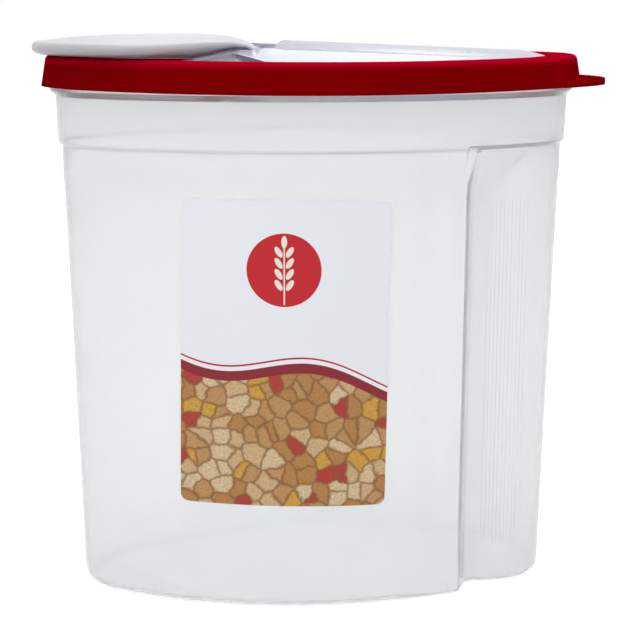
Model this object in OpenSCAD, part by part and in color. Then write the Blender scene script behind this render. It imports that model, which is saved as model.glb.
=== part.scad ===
// Cereal container with a flip spout: a tapered oval tub with a pinch grip at the back,
// a press-on lid frame with a pour ring, a domed window in the frame, and a hinged spout flap.
// Millimetres. The nose points to -X, the grip end to +X, and the base stands on z = 0.
// Every oval here is four tangent arcs, so an inset of one is the same four arcs with other radii.

/* [Lid outline] */
// Length of the lid over its skirt, from nose to back, without the tab
lid_len = 276.6; // [260:0.2:290]
// Width of the lid over its skirt
lid_wid = 152; // [140:1:164]
// Distance of the widest place behind the middle
widest_x = 3; // [0:0.5:6]
// Radius of the lid's outline at the nose
nose_r = 48; // [44:0.5:52]

/* [Container] */
// Height of the rim, where the lid sits
rim_z = 271.6; // [250:0.2:290]
// Wall thickness of the container
wall = 1.8; // [1.4:0.1:2.4]
// Inset of the upper wall from the lid's outline
upper_inset = 7.7; // [7.2:0.1:9]
// Height of the step between the upper and the lower wall
step_z = 229; // [200:1:240]
// How far the lower wall steps in there
step_in = 2; // [1:0.1:3]
// How far the lower wall tapers in from the step down to the base
wall_taper = 6.1; // [3:0.1:8]
// Radius round the edge of the base
base_r = 9; // [5:0.5:11]
// Height of the stacking flange below the lid's skirt
flange_z = 257; // [245:0.5:258]
// Inset of the stacking flange from the lid's outline
flange_inset = 4; // [3:0.1:5]

/* [Pinch grip] */
// Distance from the middle to the front wall of the grip recess, at the outside
grip_x = 81; // [76:0.5:88]
// Distance from the middle to where the grip's rounded back starts
fin_x = 103; // [99:0.5:108]
// Slant of the grip's flat sides, which spread towards the front
fin_flare = 14; // [6:0.5:18]
// Slant of the recess's front wall
grip_slant = 14; // [4:0.5:18]
// How far the mouth of the grip moves back for each mm of height
grip_lean = 0.02; // [0:0.005:0.03]
// Distance from the middle line to the mouth of the recess
mouth_y = 47; // [44:0.5:50]
// Rounding at the mouth of the recess
mouth_round = 3; // [1.5:0.5:4]
// Radius in the recess's inner corner
nook_r = 4; // [2:0.5:5]
// Height of the flat part of the recess's ceiling
ceiling_z = 228; // [200:1:228]
// Slope of the recess's ceiling
ceiling_slope = 43; // [30:1:50]
// Height of the ceiling's lowest corner, as a share of the flat part's
ceiling_foot = 0.94; // [0.9:0.01:0.97]

/* [Lid frame] */
// Thickness of the frame's top web
web = 2.4; // [2:0.1:3]
// Depth of the lid's skirt from the top face
skirt_h = 14.4; // [12:0.1:15]
// Thickness of the skirt
skirt_wall = 1.7; // [1.4:0.1:2]
// How far the skirt leans in from its foot to its top
skirt_lean = 1.9; // [1:0.1:2.4]
// Radius round the skirt's top edge
edge_r = 3; // [2:0.1:4]
// Thickness of the plug wall that fits inside the rim
plug_wall = 1.5; // [1.2:0.1:2]
// Depth of the plug wall below the rim
plug_h = 9.5; // [6:0.5:12]
// Inset of the window's opening from the lid's outline, at the sides
frame_w = 11.7; // [11.6:0.1:13]
// Distance from the middle to the back of the window's opening
window_x = 120.5; // [116:0.5:123]
// Distance from the middle to the centre of the pour ring
ring_x = 90; // [86:0.5:94]
// Radius of the pour ring
ring_r = 50; // [48:0.5:52]
// Distance from the middle to the centre of the pour hole
hole_x = 86; // [84:0.5:88]
// Radius of the pour hole
hole_r = 36; // [32:0.5:37]
// Reach of the lift tab behind the skirt
tab_out = 13.3; // [9:0.1:16]
// Radius of the lift tab's edge
tab_r = 46; // [40:1:50]
// Thickness of the lift tab
tab_t = 2.2; // [1.8:0.1:3]

/* [Window] */
// Wall thickness of the window
window_wall = 1.8; // [1.4:0.1:2.2]
// Height of the window's crown over the frame's top face, at the hinge
crown_h = 6.4; // [5:0.1:7]
// Radius of the window's crown from side to side
crown_r = 345; // [330:5:380]
// Slope of the crown down towards the back
crown_slope = 2; // [1.6:0.1:2.4]

/* [Spout flap] */
// Wall thickness of the flap
flap_wall = 1.8; // [1.4:0.1:2.2]
// Radius of the flap's round front
flap_r = 54; // [52:0.5:54.5]
// Distance from the middle to the centre of the flap's round front
flap_x = 88.5; // [87:0.5:91]
// Height of the flap's crown over the frame's top face
flap_h = 10; // [9:0.1:11]
// Distance from the middle to the crown's highest place
crown_x = 78; // [70:1:84]
// Drop of the crown from there to the front
front_drop = 2.8; // [2:0.1:3.5]
// Drop of the crown from there to the hinge axis
tail_drop = 6.3; // [5.5:0.1:6.6]
// Radius of the crown from side to side
flap_crown = 400; // [340:10:600]
// Radius of the flap's rolled edge
flap_edge = 3.9; // [3:0.1:4.2]
// Distance from the middle to the hinge axis
hinge_x = 31; // [30:0.5:32]
// Height of the hinge axis over the frame's top face
hinge_h = 0; // [-0.5:0.1:0.5]
// Radius of the flap's hinge barrel
barrel_r = 4; // [3.6:0.1:4.2]
// Length of the hinge barrel
barrel_len = 80; // [72:1:84]
// Radius of a hinge pin
pin_r = 1.7; // [1.4:0.1:2]
// Length of a hinge pin
pin_len = 3; // [2:0.1:3.2]
// Distance from the middle to the shell's end inside the hinge barrel
tail_x = 31.5; // [31:0.1:32]
// Radius of the shell's corners there
tail_r = 5; // [4.5:0.1:6]
// Depth of the flap's plug below the frame's top face
seal_h = 3.5; // [2:0.1:5]

/* [Label] */
// Width of the label
label_w = 105; // [90:1:115]
// Height of the label
label_h = 154; // [130:1:160]
// Radius of the label's corners
label_r = 4; // [2:0.5:8]
// Distance of the label's middle from the container's middle
label_x = -6.5; // [-10:0.5:0]
// Height of the label's middle
label_z = 130.6; // [120:0.1:140]
// Turn of the label, as it was stuck on
label_turn = 0.8; // [-2:0.1:2]
// Thickness of the label
label_t = 0.25; // [0.15:0.05:0.4]

/* [Clearances] */
// Gap between the plug wall and the rim, and between window and frame
fit = 0.3; // [0.2:0.05:0.5]
// Radial running fit of the hinge pins
pin_fit = 0.05; // [0.02:0.01:0.1]
// Free gap between the hinge barrel and its well
well_gap = 1.6; // [1:0.1:2]
// Free gap round the flap
flap_gap = 0.4; // [0.3:0.05:0.5]
// Gap between the flap's plug and the pour hole
seal_gap = 0.6; // [0.4:0.05:0.8]
// Gap between the label and the wall
glue_gap = 0.05; // [0.04:0.01:0.1]

/* [Hidden] */
$fn = 96;

// Heights that the lid's parts share
top_z = rim_z + web;
seat_z = rim_z + 0.2;
seat_t = 1.6;
skirt_z = top_z - skirt_h;

// Lower wall: its inset at a height, and the slant of that line
base_inset = upper_inset + step_in + wall_taper;
slant = atan(wall_taper / step_z);
function wall_p(z) = -base_inset + z * tan(slant);
far = 400;
bevel = 30;
fin_tip = lid_len / 2 - base_inset - fin_x;
inwards = [cos(47), sin(47)];

// Four tangent arcs from an oval's reach each way, its half width and the side's radius,
// each [centre x, centre y, radius, first angle, sweep]
function end_r(run, half, side) =
    (2 * side * half - run * run - half * half) / (2 * (side - run));
function oval(front, back, half, side) =
    let (nose = end_r(front, half, side), tail = end_r(back, half, side))
    let (tn = atan2(side - half, nose - front), tb = atan2(side - half, back - tail))
    [
        [widest_x + back - tail, 0, tail, -tb, 2 * tb],
        [widest_x, half - side, side, tb, tn - tb],
        [widest_x - front + nose, 0, nose, tn, 360 - 2 * tn],
        [widest_x, side - half, side, 360 - tn, tn - tb]
    ];
lid_front = lid_len / 2 + widest_x;
lid_back = lid_len / 2 - widest_x;
half_wid = lid_wid / 2;
side_r = (lid_front * lid_front + half_wid * half_wid - 2 * lid_front * nose_r) / (2 * (half_wid - nose_r));
lid_oval = oval(lid_front, lid_back, half_wid, side_r);
tail_turn = lid_oval[0][4] / 2;
nose_turn = lid_oval[2][3];
mouth_turn = acos((grip_x + grip_lean * ceiling_z - widest_x) / (side_r + wall_p(ceiling_z))) + 1;
window_oval = oval(lid_front - frame_w, window_x - widest_x, half_wid - frame_w, side_r - frame_w);

// The corners of an oval drawn in by an inset, and a flat plate inside it
function oval_line(arcs, inset) =
    [for (a = arcs) for (k = [0:23]) let (t = a[3] + a[4] * k / 24)
        [a[0] + (a[2] - inset) * cos(t), a[1] + (a[2] - inset) * sin(t)]];
module plate(arcs, inset, low, high) {
    translate([0, 0, low])
        linear_extrude(high - low)
            polygon(oval_line(arcs, inset));
}

// A point of the lid's outline by the angle of its normal, drawn in or out by an inset
function lid_point(t, p) =
    let (a = lid_oval[t <= tail_turn ? 0 : t <= nose_turn ? 1 : 2])
    [a[0] + (a[2] + p) * cos(t), a[1] + (a[2] + p) * sin(t)];

// Where two lines meet, and where a line leaves a circle
function meet(a, u, b, v) =
    a + u * (((b[0] - a[0]) * v[1] - (b[1] - a[1]) * v[0]) / (u[0] * v[1] - u[1] * v[0]));
function leave(a, u, c, r) =
    let (d = a - c, b = d * u)
    a + u * (sqrt(b * b - d * d + r * r) - b);
function bend(a, b, c, t) = a * (1 - t) * (1 - t) + b * 2 * t * (1 - t) + c * t * t;

// The outline of a grip recess from the back tip to its mouth, at an inset and a height
function grip_line(skin, z) =
    let (r = fin_tip - skin + z * tan(slant))
    let (along = [-cos(fin_flare), sin(fin_flare)], out = [-sin(grip_slant), cos(grip_slant)])
    let (mouth_line = [grip_x + grip_lean * z - skin / cos(grip_slant), mouth_y])
    let (side = [fin_x, 0] + r * [sin(fin_flare), cos(fin_flare)])
    let (nook = meet(side, along, mouth_line, out))
    let (arc = lid_oval[1], big = arc[2] + wall_p(z) - skin)
    let (mouth = leave(mouth_line, out, [arc[0], arc[1]], big))
    let (turn = acos((mouth[0] - arc[0]) / big) + mouth_round / big * 180 / PI)
    let (fillet = nook_r + skin, edge = lid_point(turn, wall_p(z) - skin))
    concat(
        [for (k = [0:5]) [fin_x, 0] + r * [cos(k * (90 - fin_flare) / 5), sin(k * (90 - fin_flare) / 5)]],
        [(side + nook - fillet * along) / 2],
        [for (t = [0, 0.5, 1]) bend(nook - fillet * along, nook, nook + fillet * out, t)],
        [for (t = [0, 1 / 3, 2 / 3, 1]) bend(mouth - mouth_round * out, mouth, edge, t)]
    );

// Angles of the normals of the full outline, first the places over the grip recess
over_grip = [for (f = [0, 0.1, 0.2, 0.3, 0.42, 0.54, 0.68, 0.84, 1]) tail_turn * f];
over_mouth = [for (f = [0.35, 0.72, 0.84, 0.93, 1]) tail_turn + (mouth_turn - tail_turn) * f];
past_mouth = concat(
    [for (k = [1:18]) mouth_turn + (nose_turn - mouth_turn) * k / 18],
    [for (k = [1:8]) nose_turn + (180 - nose_turn) * k / 8]);
grip_places = len(over_grip) + len(over_mouth);

// Half rings from the back tip to the nose, as [x, y, z]
function full_half(p, z) =
    [for (t = concat(over_grip, over_mouth, past_mouth)) concat(lid_point(t, p), z)];
function grip_half(skin, z) =
    concat([for (q = grip_line(skin, z)) concat(q, z)],
        [for (t = past_mouth) concat(lid_point(t, wall_p(z) - skin), z)]);

// Height of the recess's ceiling over a place, up to its flat part
function ceiling(q, lift) =
    min(ceiling_z - 0.6 + lift,
        ceiling_foot * ceiling_z + lift * 1.4 + tan(ceiling_slope) * (q - [grip_x + 3, 26]) * inwards);

// Half rings under the ceiling, at the turn of its slope, and at the outer wall
function ceiling_foot_half(skin) =
    let (low = grip_line(skin, ceiling_z))
    [for (k = [0:len(over_grip) + len(over_mouth) + len(past_mouth) - 1])
        k == 0 || k >= grip_places - 1
            ? concat(lid_point(k == 0 ? 0 : concat(over_grip, over_mouth, past_mouth)[k],
                wall_p(ceiling_z - 14) - skin), ceiling_z - 14)
            : concat(low[k], ceiling(low[k], skin))];
function ceiling_turn_half(skin) =
    let (low = grip_line(skin, ceiling_z), high = full_half(wall_p(ceiling_z) - skin, 0))
    [for (k = [0:len(high) - 1])
        k == 0 || k >= grip_places - 1
            ? [high[k][0], high[k][1], ceiling_z - 5]
            : let (to = [high[k][0], high[k][1]] - low[k])
                let (m = (ceiling_z + skin - ceiling(low[k], skin)) / tan(ceiling_slope) / max(to * inwards, 1))
                concat(low[k] + to * min(max(m, 0.3), 0.85), ceiling_z + skin)];

// A ring from a half ring, and a solid through a stack of rings with flat ends
function full_ring(half) =
    concat(half, [for (k = [len(half) - 2:-1:1]) [half[k][0], -half[k][1], half[k][2]]]);
module stack(halves) {
    rings = [for (h = halves) full_ring(h)];
    n = len(rings[0]);
    last = len(rings) - 1;
    polyhedron(
        points = [for (r = rings) each r],
        faces = concat(
            [[for (k = [0:n - 1]) k]],
            [[for (k = [n - 1:-1:0]) last * n + k]],
            [for (r = [0:last - 1]) for (k = [0:n - 1])
                [r * n + k, (r + 1) * n + k, r * n + (k + 1) % n]],
            [for (r = [0:last - 1]) for (k = [0:n - 1])
                [r * n + (k + 1) % n, (r + 1) * n + k, (r + 1) * n + (k + 1) % n]]
        ),
        convexity = 8
    );
}

module container_body() {
    upper = -upper_inset;
    neck = 0.7 - upper_inset;
    color("gainsboro")
        stack(concat(
            [for (a = [0, 30, 60, 90]) grip_half(base_r * (1 - sin(a)), base_r * (1 - cos(a)))],
            [
                ceiling_foot_half(0),
                ceiling_turn_half(0),
                full_half(wall_p(ceiling_z), ceiling_z),
                full_half(wall_p(step_z), step_z),
                full_half(upper, step_z + 1.5),
                full_half(neck, flange_z - 3),
                full_half(-flange_inset, flange_z),
                full_half(-flange_inset, flange_z + 1.6),
                full_half(-flange_inset - 1.2, flange_z + 2),
                full_half(-flange_inset - 1.2, rim_z - 6),
                full_half(-flange_inset - 0.4, rim_z - 4.5),
                full_half(-flange_inset - 0.4, rim_z - 2),
                full_half(-flange_inset - 1.6, rim_z),
                full_half(neck - wall, rim_z),
                full_half(neck - wall, flange_z - 3),
                full_half(upper - wall, step_z + 2.4),
                ceiling_turn_half(wall),
                ceiling_foot_half(wall)
            ],
            [for (a = [90, 60, 30, 0])
                grip_half(wall + (base_r - wall) * (1 - sin(a)), wall + (base_r - wall) * (1 - cos(a)))]
        ));
}

// The lid's channel as a closed line: skirt, rounded edge, web and the plug wall in the rim
function channel_line() =
    let (top_p = -skirt_lean - 0.2, plug_p = 0.7 - upper_inset - wall - fit)
    concat(
        [[-skirt_wall, skirt_z], [0, skirt_z]],
        [for (a = [0:18:90]) [top_p - edge_r * (1 - cos(a)), top_z - edge_r * (1 - sin(a))]],
        [
            [plug_p - plug_wall, top_z],
            [plug_p - plug_wall, rim_z - plug_h],
            [plug_p, rim_z - plug_h],
            [plug_p, rim_z],
            [top_p - skirt_wall, rim_z]
        ]
    );

// Carries a closed line of [outward, up] points round the lid
module round_lid(line) {
    turns = concat(over_grip, over_mouth, past_mouth);
    half = len(turns);
    n = len(line);
    last = 2 * half - 3;
    polyhedron(
        points = [for (k = [0:last]) let (low = k < half, t = turns[low ? k : 2 * half - 2 - k])
            for (q = line) let (e = lid_point(t, q[0])) [e[0], low ? e[1] : -e[1], q[1]]],
        faces = concat(
            [for (k = [0:last]) for (j = [0:n - 1]) let (m = (k + 1) % (last + 1), i = (j + 1) % n)
                [k * n + j, k * n + i, m * n + j]],
            [for (k = [0:last]) for (j = [0:n - 1]) let (m = (k + 1) % (last + 1), i = (j + 1) % n)
                [k * n + i, m * n + i, m * n + j]]
        ),
        convexity = 8
    );
}

// The window's opening: the inner oval without the pour ring
module window_opening(inset, lap, low, high) {
    difference() {
        plate(window_oval, inset, low, high);
        translate([-ring_x, 0, low - 1])
            cylinder(h = high - low + 2, r = ring_r + lap);
    }
}

module lid_frame() {
    color("firebrick")
        difference() {
            union() {
                round_lid(channel_line());
                difference() {
                    plate(lid_oval, frame_w - 1.8, seat_z - seat_t, top_z);
                    window_opening(0, 0, seat_z, top_z + 1);
                    window_opening(2.5, 1, seat_z - 5, top_z);
                }
                translate([-hole_x, 0, rim_z - 7])
                    cylinder(h = 7 + web / 2, r = hole_r + 2);
                lift_tab();
            }
            translate([-hole_x, 0, rim_z - 20])
                cylinder(h = 40, r = hole_r);
        }
}

// Crescent for the thumb at the back of the skirt
module lift_tab() {
    translate([0, 0, skirt_z])
        difference() {
            translate([lid_len / 2 + tab_out - tab_r, 0, 0])
                cylinder(h = tab_t, r = tab_r);
            translate([0, 0, -skirt_z])
                plate(lid_oval, 1, skirt_z - 1, skirt_z + tab_t + 1);
        }
}

// Everything under the window's crown, lifted by an offset
module under_crown(lift) {
    difference() {
        translate([0, 0, top_z + crown_h - crown_r + lift])
            translate([-hinge_x, 0, 0])
                rotate([0, 90 + crown_slope, 0])
                    translate([0, 0, -far / 2])
                        cylinder(h = far, r = crown_r, $fn = 360);
        translate([-ring_x, 0, seat_z + 1.5 + lift])
            cylinder(h = 13, r1 = ring_r + fit - lift, r2 = ring_r + fit - lift + 26);
    }
}

// The well's section across the hinge, with its ramp at the back and a shelf under the flap's tail in front
module well_profile(skin) {
    r = barrel_r + well_gap + skin;
    circle(r);
    polygon([
        [0, -r],
        [9 + skin * 0.6, -r],
        [19 + skin * 1.3, 9],
        [-r - 5, 9],
        [-r - 5, 2.2 - skin],
        [-r, -skin]
    ]);
}

module hinge_well(skin, len) {
    translate([-hinge_x, len / 2, top_z + hinge_h])
        rotate([90, 0, 0])
            linear_extrude(len)
                well_profile(skin);
}

// The window's crowned shape with its bevelled edge
module window_form() {
    edge = oval_line(window_oval, fit);
    top = oval_line(window_oval, fit + bevel);
    n = len(edge);
    rings = [[edge, seat_z], [edge, top_z - 0.8], [top, top_z - 0.8 + bevel * 0.24]];
    difference() {
        intersection() {
            polyhedron(
                points = [for (r = rings) for (q = r[0]) [q[0], q[1], r[1]]],
                faces = concat(
                    [[for (k = [0:n - 1]) k]],
                    [[for (k = [n - 1:-1:0]) 2 * n + k]],
                    [for (r = [0, 1]) for (k = [0:n - 1])
                        [r * n + k, (r + 1) * n + k, r * n + (k + 1) % n]],
                    [for (r = [0, 1]) for (k = [0:n - 1])
                        [r * n + (k + 1) % n, (r + 1) * n + k, (r + 1) * n + (k + 1) % n]]
                )
            );
            under_crown(0);
        }
        translate([-ring_x, 0, seat_z - 1])
            cylinder(h = 20, r = ring_r + fit);
    }
}

// The hollow under the window
module window_hollow() {
    inset = fit + window_wall;
    difference() {
        intersection() {
            plate(window_oval, inset, seat_z - 1, top_z + 8);
            under_crown(-window_wall);
        }
        translate([-ring_x, 0, seat_z - 2])
            cylinder(h = 20, r = ring_r + inset);
    }
}

module lid_window() {
    well_len = barrel_len + 2 * flap_gap;
    color("lavender")
        difference() {
            union() {
                difference() {
                    window_form();
                    window_hollow();
                }
                difference() {
                    intersection() {
                        hinge_well(window_wall, well_len + 2 * pin_len + 1);
                        under_crown(-window_wall / 2);
                    }
                    translate([-ring_x, 0, 0])
                        cylinder(h = far, r = ring_r + fit + 0.8);
                }
            }
            hinge_well(0, well_len);
            translate([-hinge_x, barrel_len / 2 + pin_len + flap_gap, top_z + hinge_h])
                rotate([90, 0, 0])
                    cylinder(h = barrel_len + 2 * pin_len + 2 * flap_gap, r = pin_r + pin_fit);
        }
}

// Half of the flap's outline from its tail to its nose: [x, y, angle of the normal, spine x]
tail_side = barrel_len / 2;
waist = [flap_x - hinge_x - 7, tail_side];
flap_turn = atan2(waist[1], waist[0]) + acos(flap_r / norm(waist));
flap_half = concat(
    [for (f = [0, 0.4, 0.8, 1]) [-tail_x, f * (tail_side - tail_r), 0, -hinge_x - 12]],
    [for (a = [30, 60]) [-tail_x + tail_r * (cos(a) - 1), tail_side + tail_r * (sin(a) - 1), a, -hinge_x - 12]],
    [[-tail_x - tail_r, tail_side, 90, -hinge_x - 13]],
    [for (f = [0:0.2:0.8])
        [-hinge_x - 7 - f * (waist[0] - flap_r * cos(flap_turn)), tail_side + f * (flap_r * sin(flap_turn) - tail_side),
            f == 0 ? (90 + flap_turn) / 2 : flap_turn, -hinge_x - 15 - 30 * f]],
    [for (k = [0:16]) let (a = flap_turn + (180 - flap_turn) * k / 16)
        [-flap_x + flap_r * cos(a), flap_r * sin(a), a, -hinge_x - 45 - 12 * min(k / 5, 1)]]
);

// Height of the flap's top over the frame's top face
function flap_top(q) =
    let (u = q[0] + crown_x)
    flap_h - q[1] * q[1] / 2 / flap_crown
        - (u < 0 ? front_drop * pow(-u / 58, 2.6) : tail_drop * pow(u / (crown_x - hinge_x), 5.6));

// Height of the window's top there, and the flap's lower edge that stays clear of it
function window_top(q) =
    min(crown_h - q[1] * q[1] / 2 / crown_r - (q[0] + hinge_x) * tan(crown_slope),
        seat_z + 1.5 - top_z + (norm([q[0] + ring_x, q[1]]) - ring_r - fit) / 2);
function flap_foot(q) =
    q[0] > 1 - hinge_x - barrel_r - well_gap && abs(q[1]) <= tail_side
        ? -1
        : max(flap_gap, window_top(q) + flap_gap + 0.3);

// A half ring on the rolled edge, at an angle from its foot (-90) to its top (90)
function edge_half(turn, skin) =
    [for (c = flap_half)
        let (n = [cos(c[2]), sin(c[2])], q = [c[0], c[1]] - n * flap_edge)
        let (high = flap_top(q), low = min(flap_foot([c[0], c[1]]), high - 1.5), e = min(flap_edge, (high - low) / 2))
        let (r = max(e - skin, 0.2), centre = turn < 0 ? low + e : high - e)
        let (p = q + n * (r * cos(turn) + flap_edge - e))
        [p[0], c[1] == 0 ? 0 : p[1], centre + r * sin(turn)]];

// A half ring on the crown, at a share of the way from the rolled edge to the spine
function crown_half(share, skin) =
    [for (c = flap_half)
        let (q = [c[0], c[1]] - [cos(c[2]), sin(c[2])] * flap_edge)
        let (p = q + ([c[3], 0] - q) * share)
        [p[0], c[1] == 0 ? 0 : p[1], skin == 0 ? flap_top(p)
            : min(max(flap_top(p) - skin, window_top(p) + flap_gap + 0.3), flap_top(p) - 0.9)]];

// The flap's shell through its rings, closed along the spine
module flap_shell() {
    halves = concat(
        [for (a = [-80, -50, -20, 20, 45, 70]) edge_half(a, 0)],
        [for (f = [0, 0.3, 0.6, 0.9]) crown_half(f, 0)],
        [for (f = [0.9, 0.5, 0]) crown_half(f, flap_wall)],
        [[for (q = crown_half(0, 0)) [q[0], q[1], min(flap_foot(q), q[2] - 1.5) + 0.3]]]
    );
    rings = [for (h = halves) full_ring(h)];
    n = len(rings[0]);
    last = len(rings) - 1;
    turn = 9;
    translate([0, 0, top_z])
        polyhedron(
            points = [for (r = rings) each r],
            faces = concat(
                [for (r = [0:last]) if (r != turn) for (k = [0:n - 1]) let (m = (r + 1) % (last + 1))
                    [r * n + k, m * n + k, r * n + (k + 1) % n]],
                [for (r = [0:last]) if (r != turn) for (k = [0:n - 1]) let (m = (r + 1) % (last + 1))
                    [r * n + (k + 1) % n, m * n + k, m * n + (k + 1) % n]],
                [for (k = [0:n / 2 - 1])
                    [turn * n + (n - k) % n, turn * n + n - k - 1, turn * n + k + 1, turn * n + k]],
                [for (k = [0:n / 2 - 1]) let (m = (turn + 1) * n)
                    [m + k, m + k + 1, m + n - k - 1, m + (n - k) % n]]
            ),
            convexity = 6
        );
}

module flip_spout() {
    pin_reach = tail_side + pin_len;
    color("whitesmoke") {
        flap_shell();
        translate([-hole_x, 0, top_z - seal_h])
            difference() {
                cylinder(h = seal_h + flap_h - 1.9, r = hole_r - seal_gap);
                translate([0, 0, -1])
                    cylinder(h = far, r = hole_r - seal_gap - flap_wall);
            }
        translate([-hinge_x, tail_side - 0.2, top_z + hinge_h])
            rotate([90, 0, 0])
                cylinder(h = barrel_len - 0.4, r = barrel_r);
        translate([-hinge_x, pin_reach, top_z + hinge_h])
            rotate([90, 0, 0])
                cylinder(h = 2 * pin_reach, r = pin_r);
    }
}

// The near side of the lower wall, at a distance along it, a height and an offset outwards
function near_wall(x, z, off) =
    let (a = lid_oval[3], r = a[2] + wall_p(z) + off)
    [x, a[1] - sqrt(r * r - (x - a[0]) * (x - a[0])), z];
function on_label(u, v, off) =
    near_wall(label_x + u * cos(label_turn) + v * sin(label_turn),
        label_z - u * sin(label_turn) + v * cos(label_turn), off);

module front_label() {
    in = [for (f = [0, 0.08, 0.3, 0.6, 1]) f * label_r];
    columns = concat(
        [for (d = in) [d - label_w / 2, d]],
        [for (k = [1:17]) [(label_w - 2 * label_r) * (k / 18 - 0.5), label_r]],
        [for (k = [4:-1:0]) [label_w / 2 - in[k], in[k]]]);
    last = len(columns) - 1;
    color("aliceblue")
        polyhedron(
            points = [for (c = columns)
                let (h = label_h / 2 - label_r + sqrt(label_r * label_r - pow(label_r - c[1], 2)))
                each [
                    on_label(c[0], -h, glue_gap),
                    on_label(c[0], h, glue_gap),
                    on_label(c[0], h, glue_gap + label_t),
                    on_label(c[0], -h, glue_gap + label_t)
                ]],
            faces = concat(
                [[0, 1, 2], [0, 2, 3]],
                [[last * 4 + 2, last * 4 + 1, last * 4], [last * 4 + 3, last * 4 + 2, last * 4]],
                [for (c = [0:last - 1]) for (k = [0:3])
                    [c * 4 + k, (c + 1) * 4 + k, c * 4 + (k + 1) % 4]],
                [for (c = [0:last - 1]) for (k = [0:3])
                    [c * 4 + (k + 1) % 4, (c + 1) * 4 + k, (c + 1) * 4 + (k + 1) % 4]]
            )
        );
}

container_body();
lid_frame();
lid_window();
flip_spout();
front_label();
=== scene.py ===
import math

import bmesh
import bpy
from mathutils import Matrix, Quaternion, Vector


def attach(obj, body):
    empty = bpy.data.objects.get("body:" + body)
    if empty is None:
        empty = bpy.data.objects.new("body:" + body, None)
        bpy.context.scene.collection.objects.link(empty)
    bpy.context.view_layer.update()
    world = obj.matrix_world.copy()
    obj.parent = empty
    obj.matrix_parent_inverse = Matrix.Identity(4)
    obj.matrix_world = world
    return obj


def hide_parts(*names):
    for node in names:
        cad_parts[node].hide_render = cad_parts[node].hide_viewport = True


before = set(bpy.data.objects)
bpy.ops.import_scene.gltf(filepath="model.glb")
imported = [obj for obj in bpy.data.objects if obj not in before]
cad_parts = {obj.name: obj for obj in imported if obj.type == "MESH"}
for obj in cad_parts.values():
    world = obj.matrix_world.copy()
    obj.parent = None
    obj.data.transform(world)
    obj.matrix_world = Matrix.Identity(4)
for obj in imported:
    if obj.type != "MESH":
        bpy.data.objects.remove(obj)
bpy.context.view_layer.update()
mm = 0.001


def hexColour(text):
    # sRGB hex to the linear colour a socket wants
    parts = [int(text[i:i + 2], 16) / 255 for i in (1, 3, 5)]
    return [c / 12.92 if c <= 0.04045 else ((c + 0.055) / 1.055) ** 2.4 for c in parts] + [1.0]


def addNode(tree, kind, settings=None, **links):
    # one node with its settings; a socket is named with underscores for spaces, or as i and its number
    node = tree.nodes.new(kind)
    for key, value in (settings or {}).items():
        setattr(node, key, value)
    for key, value in links.items():
        numbered = key[0] == "i" and key[1:].isdigit()
        socket = node.inputs[int(key[1:]) if numbered else key.replace("_", " ")]
        if isinstance(value, bpy.types.NodeSocket):
            tree.links.new(value, socket)
        else:
            socket.default_value = value
    return node


def newMaterial(name):
    material = bpy.data.materials.new(name)
    material.use_nodes = True
    material.node_tree.nodes.clear()
    return material, material.node_tree


def meshObject(name, points, faces, smoothBelow=32):
    mesh = bpy.data.meshes.new(name)
    mesh.from_pydata([tuple(c * mm for c in p) for p in points], [], faces)
    mesh.validate()
    bm = bmesh.new()
    bm.from_mesh(mesh)
    bmesh.ops.remove_doubles(bm, verts=bm.verts, dist=1e-6)
    bmesh.ops.recalc_face_normals(bm, faces=bm.faces)
    bm.to_mesh(mesh)
    bm.free()
    return smoothObject(name, mesh, smoothBelow)


def smoothObject(name, mesh, smoothBelow):
    mesh.shade_smooth()
    mesh.set_sharp_from_angle(angle=math.radians(smoothBelow))
    piece = bpy.data.objects.new(name, mesh)
    bpy.context.scene.collection.objects.link(piece)
    return piece


def mergedCopy(name, node, smoothBelow=32):
    # the CAD node's own shape with its loose triangles welded, so that it can shade smoothly
    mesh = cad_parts[node].data.copy()
    mesh.name = name
    bm = bmesh.new()
    bm.from_mesh(mesh)
    bmesh.ops.remove_doubles(bm, verts=bm.verts, dist=2e-6)
    bm.to_mesh(mesh)
    bm.free()
    mesh.materials.clear()
    return smoothObject(name, mesh, smoothBelow)


def finishPiece(piece, body, node, material):
    piece.data.materials.clear()
    piece.data.materials.append(material)
    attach(piece, body)
    if node:
        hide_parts(node)


lid = {"length": 276.6, "width": 152.0, "widestX": 3.0, "noseRadius": 48.0, "topZ": 274.0}

lidFront = lid["length"] / 2 + lid["widestX"]
lidBack = lid["length"] / 2 - lid["widestX"]
halfWidth = lid["width"] / 2
sideRadius = ((lidFront ** 2 + halfWidth ** 2 - 2 * lidFront * lid["noseRadius"])
              / (2 * (halfWidth - lid["noseRadius"])))


def endRadius(run, half, side):
    return (2 * side * half - run ** 2 - half ** 2) / (2 * (side - run))


def ovalArcs(front, back, half, side):
    # tail, far side and nose arcs: centre x, centre y, radius, and the angle where each one ends
    nose, tail = endRadius(front, half, side), endRadius(back, half, side)
    tailTurn = math.degrees(math.atan2(side - half, back - tail))
    noseTurn = math.degrees(math.atan2(side - half, nose - front))
    x = lid["widestX"]
    return [(x + back - tail, 0, tail, tailTurn), (x, half - side, side, noseTurn), (x - front + nose, 0, nose, 180)]


lidArcs = ovalArcs(lidFront, lidBack, halfWidth, sideRadius)


def ovalPoint(arcs, turn, inset=0.0):
    # by the angle of the outline's normal, from 0 at the tail to 180 at the nose
    cx, cy, r, _ = next(a for a in arcs if turn <= a[3] + 1e-9)
    return cx + (r - inset) * math.cos(math.radians(turn)), cy + (r - inset) * math.sin(math.radians(turn))


def widened(point):
    # below the step the photographed tub draws in less at its sides than at its ends
    x, y, z = point
    return x, y * (1 + tub["footWiden"] * max(0, 1 - z / tub["stepZ"])), z


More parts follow.
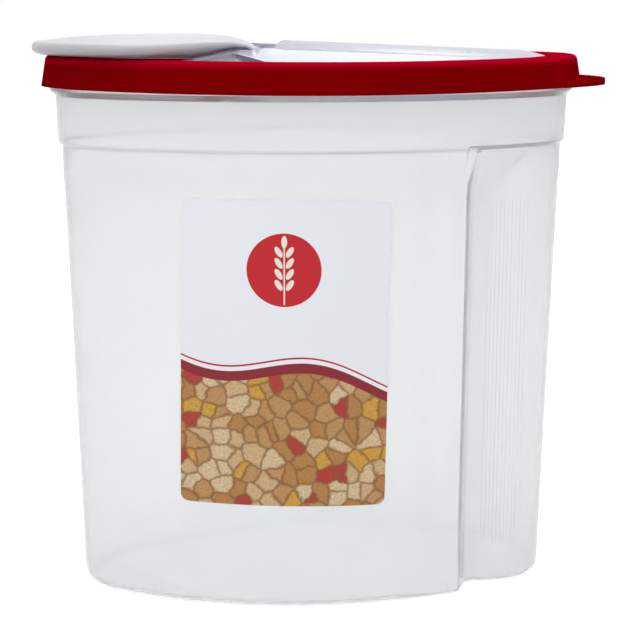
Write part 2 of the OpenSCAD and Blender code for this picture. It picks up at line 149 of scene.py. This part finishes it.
def closedRings(rings):
    # points and faces through a stack of rings of equal length, with flat ends
    n = len(rings[0])
    points = [p for ring in rings for p in ring]
    faces = [(r * n + k, r * n + (k + 1) % n, (r + 1) * n + (k + 1) % n, (r + 1) * n + k)
             for r in range(len(rings) - 1) for k in range(n)]
    faces.append(tuple(range(n - 1, -1, -1)))
    faces.append(tuple((len(rings) - 1) * n + k for k in range(n)))
    return points, faces


tub = {"rimZ": 270.1, "wall": 1.8, "upperInset": 7.7, "stepZ": 229.0, "stepIn": 2.0, "taper": 6.1,
       "baseRadius": 6.0, "footWiden": 0.09, "flangeZ": 257.0, "flangeInset": 4.0,
       "gripX": 68.2, "gripLean": 0.018, "gripSlant": 27.0, "gripFoot": 0.45, "footBlend": 12,
       "flankY": 38.8, "flankDraft": 0.012, "cornerRun": 8.0, "cornerRadius": 42.0,
       "mouthY": 50.0, "mouthRound": 1.4, "nookRadius": 5.5,
       "ceilingZ": 228.0, "ceilingSlope": 43.0, "ceilingFoot": 0.915, "ceilingTurn": 47.0, "ceilingStart": 11.0,
       "fadeDrop": 14.0, "fadeRise": 9.0, "perPlace": 4, "sideSteps": 60, "noseSteps": 28}
baseInset = tub["upperInset"] + tub["stepIn"] + tub["taper"]
slant = math.atan(tub["taper"] / tub["stepZ"])
inwards = Vector((math.cos(math.radians(tub["ceilingTurn"])), math.sin(math.radians(tub["ceilingTurn"]))))


def wallP(z):
    # how far the lower wall stands off the lid's outline at a height, negative inwards
    return z * math.tan(slant) - baseInset


def bend(a, b, c, t):
    # a rounding from a to c with its corner at b
    return a * (1 - t) ** 2 + b * 2 * t * (1 - t) + c * t * t


def flankY(z):
    # half the thickness of the grip's slab before the sides are widened
    return (tub["flankY"] + tub["flankDraft"] * z) / (1 + tub["footWiden"] * max(0, 1 - z / tub["stepZ"]))


def turnAt(y, inset):
    # where the outline's tail reaches y
    low, high = 0.0, 89.0
    for _ in range(40):
        middle = (low + high) / 2
        low, high = (middle, high) if ovalPoint(lidArcs, middle, inset)[1] < y else (low, middle)
    return low


def gripCorners(skin, z):
    # what the recess's outline is made of, at one inset and height
    lean = math.radians(tub["gripSlant"])
    out = Vector((-math.sin(lean), math.cos(lean)))
    y, inset = flankY(z) - skin, skin - wallP(z)
    start = Vector((tub["gripX"] + tub["gripLean"] * z - skin / math.cos(lean), tub["mouthY"]))
    nook = start + out * ((y - start.y) / out.y)
    meeting = turnAt(y, inset)
    tail = Vector(ovalPoint(lidArcs, meeting, inset))
    cx, cy, big, _ = lidArcs[1]
    big -= inset
    d = start - Vector((cx, cy))
    b = d.dot(out)
    mouth = start + out * (math.sqrt(b * b - d.dot(d) + big * big) - b)
    turn = math.degrees(math.acos((mouth.x - cx) / big) + tub["mouthRound"] / big)
    edge = Vector(ovalPoint(lidArcs, turn, inset))
    before = meeting - math.degrees(tub["cornerRun"] / tub["cornerRadius"])
    return inset, out, before, tail, nook, mouth, edge


def gripPoint(j, corners):
    # place j of the recess's outline: back 0-3, its corner 5, flank 7, nook 9, front wall 10, mouth 13
    inset, out, before, tail, nook, mouth, edge = corners
    fillet = tub["nookRadius"]
    back = Vector((1, 0))
    after, first = tail - back * tub["cornerRun"], nook + back * fillet
    last, inner = nook + out * fillet, mouth - out * tub["mouthRound"]
    if j <= 3:
        return Vector(ovalPoint(lidArcs, before * j / 3, inset))
    if j <= 5:
        return bend(Vector(ovalPoint(lidArcs, before, inset)), tail, after, (j - 3) / 2)
    if j <= 7:
        return after.lerp(first, (j - 5) / 2)
    if j <= 9:
        return bend(first, nook, last, (j - 7) / 2)
    if j <= 10:
        return last.lerp(inner, j - 9)
    return bend(inner, mouth, edge, (j - 10) / 3)


tailTurn, noseTurn = lidArcs[0][3], lidArcs[1][3]
mouthTurn = math.degrees(math.acos((tub["gripX"] + tub["gripLean"] * tub["ceilingZ"] - lid["widestX"])
                                   / (sideRadius + wallP(tub["ceilingZ"])))) + 1
overPlaces = [tailTurn * f for f in (0, 0.26, 0.52, 0.78, 0.88, 0.97)]
overPlaces += [tailTurn + (mouthTurn - tailTurn) * f for f in (0.3, 0.62, 0.7, 0.78, 0.86, 0.91, 0.96, 1)]
spans = len(overPlaces) - 1
columns = [k / tub["perPlace"] for k in range(spans * tub["perPlace"] + 1)]
overTurns = []
for j in columns:
    k = min(int(j), spans - 1)
    overTurns.append(overPlaces[k] + (overPlaces[k + 1] - overPlaces[k]) * (j - k))
sideSteps, noseSteps = tub["sideSteps"], tub["noseSteps"]
pastTurns = [mouthTurn + (noseTurn - mouthTurn) * k / sideSteps for k in range(1, sideSteps + 1)]
pastTurns += [noseTurn + (180 - noseTurn) * k / noseSteps for k in range(1, noseSteps + 1)]


def fullHalf(inset, z):
    return [(*ovalPoint(lidArcs, t, inset), z) for t in overTurns + pastTurns]


def gripHalf(skin, z):
    # the grip stands on a sharper foot than the rest
    sharp = tub["gripFoot"] if z < tub["baseRadius"] else 1
    corners = gripCorners(skin * sharp, z * sharp)
    half = [(*gripPoint(j, corners), z * sharp) for j in columns]
    for k, t in enumerate(pastTurns):
        share = sharp + (1 - sharp) * min(1, (k + 1) / tub["footBlend"])
        half.append((*ovalPoint(lidArcs, t, skin * share - wallP(z * share)), z * share))
    return half


def ceilingHeight(q, skin):
    start = Vector((tub["gripX"] + tub["ceilingStart"], flankY(tub["ceilingZ"])))
    rise = math.tan(math.radians(tub["ceilingSlope"])) * (q - start).dot(inwards)
    return min(tub["ceilingZ"] - 0.6 + skin, tub["ceilingFoot"] * tub["ceilingZ"] + skin * 1.4 + rise)


def ceilingHalf(skin, share):
    # from the recess's outline, share 0, along the ceiling to the turn of its slope, share 1
    top = tub["ceilingZ"]
    corners = gripCorners(skin, top)
    full = fullHalf(skin - wallP(top), 0)
    flat = top - tub["fadeDrop"] + tub["fadeRise"] * share
    half = []
    for k, j in enumerate(columns):
        low = gripPoint(j, corners)
        foot = ceilingHeight(low, skin)
        to = Vector(full[k][:2]) - low
        m = (top + skin - foot) / math.tan(math.radians(tub["ceilingSlope"])) / max(to.dot(inwards), 1)
        q = low + to * min(max(m, 0.3), 0.85) * share
        ended = j in (0, spans)  # the ceiling ends at the back tip and at the mouth
        half.append((q.x, q.y, flat if ended else foot + (top + skin - foot) * share))
    return half + [(x, y, flat) for x, y, _ in full[len(columns):]]


def wholeRing(half):
    return half + [(x, -y, z) for x, y, z in half[-2:0:-1]]


def tubRings():
    wall, up, top = tub["wall"], tub["upperInset"], tub["rimZ"]
    neck, ledge, flange = up - 0.7, tub["flangeInset"], tub["flangeZ"]
    base, step = tub["baseRadius"], tub["stepZ"]
    arc = [math.radians(a) for a in (0, 12, 24, 36, 48, 60, 70, 80, 90)]
    rings = [gripHalf(base * (1 - math.sin(a)), base * (1 - math.cos(a))) for a in arc]
    rings += [gripHalf(0, z) for z in (30, 60, 90, 120, 150, 180, 205)]
    rings += [ceilingHalf(0, 0), ceilingHalf(0, 0.5), ceilingHalf(0, 1)]
    rings.append(fullHalf(-wallP(tub["ceilingZ"]), tub["ceilingZ"]))
    # the step, the upper wall, the flange, the rim and the inner wall, as inset and height
    for inset, z in ((-wallP(step) + 0.1, step - 0.5), (-wallP(step) - 0.2, step + 0.3), (up + 1.1, step + 0.9),
                     (up + 0.4, step + 1.5), (up + 0.1, step + 2.2), (up, step + 3),
                     (neck + 0.2, flange - 8), (neck, flange - 3), (neck - 0.5, flange - 2.4),
                     (ledge + 0.4, flange - 0.5), (ledge, flange), (ledge, flange + 1.4),
                     (ledge + 0.4, flange + 1.8), (ledge + 1.2, flange + 2), (ledge + 1.2, top - 6),
                     (ledge + 0.4, top - 4.5), (ledge + 0.4, top - 2), (ledge + 0.8, top - 0.7), (ledge + 1.6, top),
                     (neck + wall - 0.5, top), (neck + wall, top - 0.5), (neck + wall, flange - 3),
                     (up + wall, step + 2.4)):
        rings.append(fullHalf(inset, z))
    rings += [ceilingHalf(wall, 1), ceilingHalf(wall, 0.5), ceilingHalf(wall, 0)]
    rings += [gripHalf(wall, z) for z in (205, 150, 90, 40)]
    rings += [gripHalf(wall + (base - wall) * (1 - math.sin(a)), wall + (base - wall) * (1 - math.cos(a)))
              for a in arc[::-1]]
    return [[widened(p) for p in wholeRing(r)] for r in rings]


def frostedPolypropylene():
    # moulded polypropylene: milky, lets light through but blurs what is behind it;
    # its index is kept low, so that the thin steps don't draw dark lines
    material, tree = newMaterial("frostedPolypropylene")
    place = addNode(tree, "ShaderNodeTexCoord").outputs["Object"]
    grain = addNode(tree, "ShaderNodeTexNoise", Vector=place, Scale=1400.0, Detail=2.0)
    flow = addNode(tree, "ShaderNodeTexNoise", Vector=place, Scale=14.0, Detail=2.0)
    rough = addNode(tree, "ShaderNodeMapRange", Value=flow.outputs["Fac"], To_Min=0.14, To_Max=0.22)
    bump = addNode(tree, "ShaderNodeBump", Height=grain.outputs["Fac"], Strength=0.12, Distance=0.00005)
    shader = addNode(tree, "ShaderNodeBsdfPrincipled", Base_Color=hexColour("#F8F9FA"), IOR=1.26,
                     Transmission_Weight=0.79, Roughness=rough.outputs["Result"], Normal=bump.outputs["Normal"])
    addNode(tree, "ShaderNodeOutputMaterial", Surface=shader.outputs["BSDF"])
    return material


frosted = frostedPolypropylene()
tubShell = meshObject("tubShell", *closedRings(tubRings()), smoothBelow=28)
finishPiece(tubShell, "container", "container_body", frosted)
print("tub made", len(tubShell.data.polygons))

ribs = {"count": 11, "pitch": 2.0, "firstX": 103.0, "lowZ": 22.0, "highZ": 203.0, "radius": 0.13, "sides": 6}


def ribGroup():
    # a row of upright ribs: one rod on each point of a line
    group = bpy.data.node_groups.new("gripRibRow", "GeometryNodeTree")
    for name, kind in (("Count", "Int"), ("First", "Vector"), ("Step", "Vector"), ("Rise", "Vector"),
                       ("Radius", "Float"), ("Material", "Material")):
        group.interface.new_socket(name, in_out="INPUT", socket_type="NodeSocket" + kind)
    group.interface.new_socket("Geometry", in_out="OUTPUT", socket_type="NodeSocketGeometry")
    given = group.nodes.new("NodeGroupInput").outputs
    line = addNode(group, "GeometryNodeMeshLine", Count=given["Count"], Start_Location=given["First"],
                   Offset=given["Step"])
    stem = addNode(group, "GeometryNodeCurvePrimitiveLine", End=given["Rise"])
    profile = addNode(group, "GeometryNodeCurvePrimitiveCircle", Resolution=ribs["sides"], Radius=given["Radius"])
    rod = addNode(group, "GeometryNodeCurveToMesh", Curve=stem.outputs[0], Profile_Curve=profile.outputs[0],
                  Fill_Caps=True)
    placed = addNode(group, "GeometryNodeInstanceOnPoints", Points=line.outputs[0], Instance=rod.outputs[0])
    real = addNode(group, "GeometryNodeRealizeInstances", Geometry=placed.outputs[0])
    painted = addNode(group, "GeometryNodeSetMaterial", Geometry=real.outputs[0], Material=given["Material"])
    addNode(group, "NodeGroupOutput", Geometry=painted.outputs[0])
    return group


def plainFromNodes(name, group, values):
    # the modifier's result as a plain mesh with no modifier left on it
    holder = bpy.data.objects.new(name + "Holder", bpy.data.meshes.new(name + "Holder"))
    bpy.context.scene.collection.objects.link(holder)
    modifier = holder.modifiers.new("row", "NODES")
    modifier.node_group = group
    for item in group.interface.items_tree:
        if item.in_out == "INPUT" and item.name in values:
            modifier[item.identifier] = values[item.name]
    graph = bpy.context.evaluated_depsgraph_get()
    mesh = bpy.data.meshes.new_from_object(holder.evaluated_get(graph), depsgraph=graph)
    bpy.data.objects.remove(holder)
    return mesh


def gripRibs(name, group, sign):
    # sign -1 is the near flank and 1 the far one
    foot, head = [Vector(widened((ribs["firstX"], sign * flankY(z), z))) for z in (ribs["lowZ"], ribs["highZ"])]
    mesh = plainFromNodes(name, group, {"Count": ribs["count"], "First": foot * mm,
                                        "Step": Vector((-ribs["pitch"], 0, 0)) * mm, "Rise": (head - foot) * mm,
                                        "Radius": ribs["radius"] * mm, "Material": frosted})
    mesh.name = name
    finishPiece(smoothObject(name, mesh, 60), "container", None, frosted)


ribRow = ribGroup()
gripRibs("gripRibsNear", ribRow, -1)
gripRibs("gripRibsFar", ribRow, 1)
print("ribs made")


# the last two values are the heights over which the painted highlight on the ring's top edge fades in
ring = {"drop": 1.4, "skirtDrop": 2.2, "skirtBelow": 260.2, "bow": 1.3, "bowAt": 130.0, "highlightFrom": 269.2,
        "highlightTo": 272.2}


def glossyRedPolyethylene():
    # moulded polyethylene: deep red with a faint orange peel, and a painted highlight: lighter red on its rounded
    # top edge, standing in for the light that falls there
    material, tree = newMaterial("glossyRedPolyethylene")
    place = addNode(tree, "ShaderNodeTexCoord").outputs["Object"]
    peel = addNode(tree, "ShaderNodeTexNoise", Vector=place, Scale=600.0, Detail=2.0)
    cloud = addNode(tree, "ShaderNodeTexNoise", Vector=place, Scale=30.0, Detail=3.0)
    tint = addNode(tree, "ShaderNodeMix", {"data_type": "RGBA"}, Factor=cloud.outputs["Fac"],
                   i6=hexColour("#760002"), i7=hexColour("#800005"))
    # painted highlight: near the top of the ring the base colour is mixed towards a lighter red, standing in for the
    # light falling on its rounded top edge
    height = addNode(tree, "ShaderNodeSeparateXYZ", Vector=place).outputs["Z"]
    edge = addNode(tree, "ShaderNodeMapRange", Value=height, From_Min=ring["highlightFrom"] * mm,
                   From_Max=ring["highlightTo"] * mm).outputs[0]
    tint = addNode(tree, "ShaderNodeMix", {"data_type": "RGBA"}, Factor=edge, i6=tint.outputs[2],
                   i7=hexColour("#A6001C"))
    bump = addNode(tree, "ShaderNodeBump", Height=peel.outputs["Fac"], Strength=0.15, Distance=0.00008)
    shader = addNode(tree, "ShaderNodeBsdfPrincipled", Base_Color=tint.outputs[2], IOR=1.5, Roughness=0.4,
                     Specular_IOR_Level=0.0, Normal=bump.outputs["Normal"])
    addNode(tree, "ShaderNodeOutputMaterial", Surface=shader.outputs["BSDF"])
    return material


def endLift(x):
    # the photographed lid bows up a little towards its two ends
    return ring["bow"] * (x / mm / ring["bowAt"]) ** 2 * mm


redRing = mergedCopy("redRing", "lid_frame")
for vertex in redRing.data.vertices:
    # the photographed ring sits a little lower, and its skirt hangs lower still
    drop = ring["skirtDrop"] if vertex.co.z < ring["skirtBelow"] * mm else ring["drop"]
    vertex.co.z += min(endLift(vertex.co.x), ring["drop"] * mm) - drop * mm
finishPiece(redRing, "lid", "lid_frame", glossyRedPolyethylene())
print("ring made")


window = {"drop": 1.4, "crownRise": 2.2, "crownRun": 6.0}


def clearTintedPlastic():
    # injection moulded clear plastic with a cool tint, its inside a little matt
    material, tree = newMaterial("clearTintedPlastic")
    place = addNode(tree, "ShaderNodeTexCoord").outputs["Object"]
    haze = addNode(tree, "ShaderNodeTexNoise", Vector=place, Scale=22.0, Detail=2.0)
    rough = addNode(tree, "ShaderNodeMapRange", Value=haze.outputs["Fac"], To_Min=0.12, To_Max=0.24)
    shader = addNode(tree, "ShaderNodeBsdfPrincipled", Base_Color=hexColour("#CDCFE0"), IOR=1.35,
                     Transmission_Weight=0.55, Roughness=rough.outputs["Result"])
    addNode(tree, "ShaderNodeOutputMaterial", Surface=shader.outputs["BSDF"])
    return material


windowDome = mergedCopy("windowDome", "lid_window")
for vertex in windowDome.data.vertices:
    # the foot goes down with the ring, and the crown stands a little higher over it
    height = min(max((vertex.co.z / mm - lid["topZ"]) / window["crownRun"], 0), 1)
    vertex.co.z += (window["crownRise"] * height - window["drop"]) * mm + endLift(vertex.co.x) * (1 - height)
finishPiece(windowDome, "lid", "lid_window", clearTintedPlastic())


flap = {"drop": 0.3, "crownRun": 9.0}


def milkyPolypropylene():
    # thin moulded polypropylene: white with a soft satin gloss
    material, tree = newMaterial("milkyPolypropylene")
    place = addNode(tree, "ShaderNodeTexCoord").outputs["Object"]
    grain = addNode(tree, "ShaderNodeTexNoise", Vector=place, Scale=900.0, Detail=2.0)
    bump = addNode(tree, "ShaderNodeBump", Height=grain.outputs["Fac"], Strength=0.12, Distance=0.00005)
    shader = addNode(tree, "ShaderNodeBsdfPrincipled", Base_Color=hexColour("#CDCCD0"), IOR=1.4,
                     Transmission_Weight=0.35, Subsurface_Weight=0.6, Subsurface_Radius=(1.0, 1.0, 1.0),
                     Subsurface_Scale=0.006, Roughness=0.3, Normal=bump.outputs["Normal"])
    addNode(tree, "ShaderNodeOutputMaterial", Surface=shader.outputs["BSDF"])
    return material


spoutFlap = mergedCopy("spoutFlap", "flip_spout")
for vertex in spoutFlap.data.vertices:
    # its foot goes down a little and its crown stays
    height = min(max((vertex.co.z / mm - lid["topZ"]) / flap["crownRun"], 0), 1)
    vertex.co.z -= flap["drop"] * (1 - height) * mm
finishPiece(spoutFlap, "spout", "flip_spout", milkyPolypropylene())


label = {"x": -23.2, "z": 130.6, "width": 103.0, "height": 152.6, "corner": 4.0, "turn": 0.9, "gap": 0.05,
         "thick": 0.25, "flake": 8.0, "bandHigh": 5.0, "lineAt": 7.6, "lineHigh": 0.9,
         "crestAt": 64.0, "crestSlope": -0.16, "waveHigh": 6.0, "waveRate": 0.06, "waveShift": 0.6,
         "discX": 0.0, "discZ": 119.0, "discR": 18.0, "earLow": 109.0, "earPitch": 5.4, "earRows": 4,
         "kernelTilt": 32.0, "kernelOut": 2.7, "kernelWide": 1.35, "kernelLong": 2.95, "stemHalf": 0.35}


def maths(tree, operation, *values):
    links = {f"i{k}": value for k, value in enumerate(values)}
    return addNode(tree, "ShaderNodeMath", {"operation": operation}, **links).outputs[0]


def mixed(tree, share, under, over):
    return addNode(tree, "ShaderNodeMix", {"data_type": "RGBA"}, Factor=share, i6=under, i7=over).outputs[2]


def ramp(tree, share, stops):
    node = addNode(tree, "ShaderNodeValToRGB", Fac=share)
    node.color_ramp.interpolation = "CONSTANT"
    for k, (place, text) in enumerate(stops):
        stop = node.color_ramp.elements[k] if k < 2 else node.color_ramp.elements.new(place)
        stop.position, stop.color = place, hexColour(text)
    return node.outputs["Color"]


def flakePicture(tree, u, v):
    # a spread of toasted flakes with a few red berries, in a cell pattern
    spot = addNode(tree, "ShaderNodeCombineXYZ", X=u, Y=v).outputs[0]
    warp = addNode(tree, "ShaderNodeTexNoise", Vector=spot, Scale=0.16, Detail=3.0)
    bent = addNode(tree, "ShaderNodeVectorMath", {"operation": "MULTIPLY_ADD"}, i0=warp.outputs["Color"],
                   i1=(5.0, 5.0, 0.0), i2=spot).outputs[0]
    settings = {"voronoi_dimensions": "2D"}
    cells = addNode(tree, "ShaderNodeTexVoronoi", settings, Vector=bent, Scale=1 / label["flake"])
    rims = addNode(tree, "ShaderNodeTexVoronoi", {**settings, "feature": "DISTANCE_TO_EDGE"}, Vector=bent,
                   Scale=1 / label["flake"])
    pick = addNode(tree, "ShaderNodeSeparateColor", Color=cells.outputs["Color"]).outputs["Red"]
    tone = ramp(tree, pick, [(0, "#C2965E"), (0.2, "#D9B98A"), (0.42, "#B98549"), (0.6, "#E3CBA0"),
                             (0.78, "#D8A53F"), (0.86, "#C99A66"), (0.91, "#B4222B")])
    crust = addNode(tree, "ShaderNodeTexNoise", Vector=spot, Scale=0.9, Detail=6.0, Roughness=0.7)
    crust = addNode(tree, "ShaderNodeMapRange", Value=crust.outputs["Fac"], From_Min=0.4, From_Max=0.62,
                    To_Min=0.0, To_Max=0.45).outputs[0]
    tone = mixed(tree, crust, tone, hexColour("#8A5A2B"))
    gap = addNode(tree, "ShaderNodeMapRange", Value=rims.outputs["Distance"], From_Min=0.02, From_Max=0.13,
                  To_Min=0.75, To_Max=0.0).outputs[0]
    return mixed(tree, gap, tone, hexColour("#7A4E26"))


def ellipse(tree, x, y, wide, tall):
    # 1 inside, 0 outside
    a, b = maths(tree, "DIVIDE", x, wide), maths(tree, "DIVIDE", y, tall)
    far = maths(tree, "ADD", maths(tree, "MULTIPLY", a, a), maths(tree, "MULTIPLY", b, b))
    return maths(tree, "LESS_THAN", far, 1.0)


def grainEar(tree, u, v):
    # rows of kernels on both sides of a stem, and one kernel on top
    side = maths(tree, "ABSOLUTE", maths(tree, "SUBTRACT", u, label["discX"]))
    up = maths(tree, "SUBTRACT", v, label["earLow"])
    row = maths(tree, "FLOORED_MODULO", up, label["earPitch"])
    tilt = math.radians(label["kernelTilt"])
    sine, cosine = math.sin(tilt), math.cos(tilt)
    x, y = maths(tree, "SUBTRACT", side, label["kernelOut"]), maths(tree, "SUBTRACT", row, label["earPitch"] / 2)
    long = maths(tree, "ADD", maths(tree, "MULTIPLY", x, sine), maths(tree, "MULTIPLY", y, cosine))
    cross = maths(tree, "SUBTRACT", maths(tree, "MULTIPLY", x, cosine), maths(tree, "MULTIPLY", y, sine))
    kernels = ellipse(tree, cross, long, label["kernelWide"], label["kernelLong"])
    rowsHigh = label["earPitch"] * label["earRows"]
    inRows = maths(tree, "COMPARE", up, rowsHigh / 2, rowsHigh / 2)
    top = ellipse(tree, side, maths(tree, "SUBTRACT", up, rowsHigh + 2.2), 1.4, 3.0)
    stem = maths(tree, "MULTIPLY", maths(tree, "LESS_THAN", side, label["stemHalf"]),
                 maths(tree, "COMPARE", up, 7.0, 14.0))
    return maths(tree, "MAXIMUM", maths(tree, "MAXIMUM", maths(tree, "MULTIPLY", kernels, inRows), top), stem)


def coatedPaper(name, printed):
    # coated label paper, nearly matt; its front has a plain print of flakes, a red band and a grain ear
    material, tree = newMaterial(name)
    place = addNode(tree, "ShaderNodeTexCoord").outputs["Object"]
    fibre = addNode(tree, "ShaderNodeTexNoise", Vector=place, Scale=1500.0, Detail=3.0)
    bump = addNode(tree, "ShaderNodeBump", Height=fibre.outputs["Fac"], Strength=0.1, Distance=0.00003)
    shader = addNode(tree, "ShaderNodeBsdfPrincipled", Base_Color=hexColour("#F1F4FA"), Roughness=0.5,
                     Normal=bump.outputs["Normal"])
    if printed:
        axes = addNode(tree, "ShaderNodeSeparateXYZ", Vector=place).outputs
        u = maths(tree, "MULTIPLY_ADD", axes["X"], 1000.0, -label["x"])
        v = maths(tree, "MULTIPLY_ADD", axes["Z"], 1000.0, label["height"] / 2 - label["z"])
        v = maths(tree, "MULTIPLY_ADD", u, math.radians(label["turn"]), v)
        wave = maths(tree, "SINE", maths(tree, "MULTIPLY_ADD", u, label["waveRate"], label["waveShift"]))
        wave = maths(tree, "MULTIPLY", wave, label["waveHigh"])
        crest = maths(tree, "ADD", maths(tree, "MULTIPLY_ADD", u, label["crestSlope"], label["crestAt"]), wave)
        over = maths(tree, "SUBTRACT", v, crest)
        line = maths(tree, "COMPARE", over, label["lineAt"], label["lineHigh"] / 2)
        tone = mixed(tree, line, hexColour("#F1F4FA"), hexColour("#B5152B"))
        tone = mixed(tree, maths(tree, "LESS_THAN", over, label["bandHigh"]), tone, hexColour("#84101F"))
        tone = mixed(tree, maths(tree, "LESS_THAN", over, 0.0), tone, flakePicture(tree, u, v))
        disc = ellipse(tree, maths(tree, "SUBTRACT", u, label["discX"]), maths(tree, "SUBTRACT", v, label["discZ"]),
                       label["discR"], label["discR"])
        tone = mixed(tree, disc, tone, hexColour("#C40A1E"))
        tone = mixed(tree, grainEar(tree, u, v), tone, hexColour("#F3EBDD"))
        tree.links.new(tone, shader.inputs["Base Color"])
    addNode(tree, "ShaderNodeOutputMaterial", Surface=shader.outputs["BSDF"])
    return material


def labelRing(across):
    # a loop round the sheet's section at one distance from its upright middle line
    arc, half = lidArcs[1], label["height"] / 2
    edge = max(0, abs(across) - label["width"] / 2 + label["corner"])
    half -= label["corner"] - math.sqrt(max(label["corner"] ** 2 - edge ** 2, 0.04))
    lean = math.radians(label["turn"])
    ring = []
    for lift, heights in ((label["gap"] + label["thick"], range(25)), (label["gap"], range(24, -1, -1))):
        for k in heights:
            up = half * (k / 12 - 1)
            z = label["z"] + up * math.cos(lean) - across * math.sin(lean)
            along = label["x"] - arc[0] + across * math.cos(lean) + up * math.sin(lean)
            turn = 90 - math.degrees(along / (arc[2] + wallP(z)))
            x, y = ovalPoint(lidArcs, turn, -wallP(z) - lift)
            ring.append(widened((x, -y, z)))
    return ring


edges = [label["width"] / 2 - label["corner"] * (1 - math.cos(math.radians(a))) for a in (90, 72, 54, 36, 18, 0)]
places = [-w for w in edges[::-1]] + [edges[0] * (k / 16 - 1) for k in range(1, 32)] + edges
paperLabel = meshObject("paperLabel", *closedRings([labelRing(place) for place in places]), smoothBelow=40)
finishPiece(paperLabel, "container", "front_label", coatedPaper("plainCoatedPaper", False))
paperLabel.data.materials.append(coatedPaper("printedCoatedPaper", True))
for face in paperLabel.data.polygons:
    face.material_index = 1 if face.normal.y < -0.5 else 0
print("label made")

studio = {"floorHalf": 6.0, "lensMm": 90.56, "distance": 833.0, "height": 306.0, "pitch": 11.59, "turn": -7.68,
          "sideways": -2.98, "roll": -0.13, "sensorWidth": 36.0, "floorLift": 0.7, "worldLight": 0.6}


def backgroundSeen(tree):
    # 1 for camera rays and for rays through or off the object, 0 for what lights it
    path = addNode(tree, "ShaderNodeLightPath").outputs
    seen = maths(tree, "MAXIMUM", path["Is Camera Ray"], path["Is Glossy Ray"])
    return maths(tree, "MAXIMUM", seen, path["Is Transmission Ray"])


def paleFloor():
    # plain white table; it reads as the white background, and keeps the shadow
    material, tree = newMaterial("paleFloor")
    lift = maths(tree, "MULTIPLY", backgroundSeen(tree), studio["floorLift"])
    shader = addNode(tree, "ShaderNodeBsdfPrincipled", Base_Color=hexColour("#B4B4B4"), Roughness=0.9,
                     Emission_Color=(1, 1, 1, 1), Emission_Strength=lift)
    addNode(tree, "ShaderNodeOutputMaterial", Surface=shader.outputs["BSDF"])
    return material


h = studio["floorHalf"] / mm
floor = meshObject("floor", [(-h, -h, 0), (h, -h, 0), (h, h, 0), (-h, h, 0)], [(0, 1, 2, 3)])
for p in floor.data.polygons:
    if p.normal.z < 0:
        p.flip()
floor.data.materials.append(paleFloor())

world = bpy.data.worlds.new("studioWorld")
bpy.context.scene.world = world
world.use_nodes = True
world.node_tree.nodes.clear()
level = addNode(world.node_tree, "ShaderNodeMapRange", Value=backgroundSeen(world.node_tree),
                To_Min=studio["worldLight"], To_Max=1.0)
back = addNode(world.node_tree, "ShaderNodeBackground", Color=(1, 1, 1, 1), Strength=level.outputs["Result"])
addNode(world.node_tree, "ShaderNodeOutputWorld", Surface=back.outputs["Background"])


def softLamp(name, place, target, size, power):
    light = bpy.data.lights.new(name, "AREA")
    light.shape, light.size, light.energy = "DISK", size, power
    lamp = bpy.data.objects.new(name, light)
    lamp.location = place
    lamp.rotation_euler = (Vector(target) - Vector(place)).to_track_quat("-Z", "Y").to_euler()
    bpy.context.scene.collection.objects.link(lamp)


softLamp("keyLamp", (-1.5, -1.5, 1.3), (0, 0, 0.14), 1.2, 15)
softLamp("topLamp", (0.0, -0.3, 1.9), (0, 0, 0.2), 1.2, 12)
softLamp("fillLamp", (1.5, -1.4, 0.9), (0, 0, 0.14), 1.4, 6)
softLamp("backLamp", (0.2, 1.6, 1.6), (0, 0, 0.16), 1.4, 10)

turn, pitch = math.radians(studio["turn"]), math.radians(studio["pitch"])
right = Vector((math.cos(turn), math.sin(turn), 0))
ahead = Vector((-math.sin(turn), math.cos(turn), 0))
eye = -right * studio["sideways"] - ahead * studio["distance"] + Vector((0, 0, studio["height"]))
look = ahead * math.cos(pitch) - Vector((0, 0, math.sin(pitch)))
cameraData = bpy.data.cameras.new("photoCamera")
cameraData.lens, cameraData.sensor_width = studio["lensMm"], studio["sensorWidth"]
camera = bpy.data.objects.new("photoCamera", cameraData)
camera.location = eye * mm
roll = Quaternion(look, math.radians(studio["roll"]))
camera.rotation_euler = (roll @ look.to_track_quat("-Z", "Y")).to_euler()
bpy.context.scene.collection.objects.link(camera)
bpy.context.scene.camera = camera
bpy.context.scene.view_settings.view_transform = "Standard"
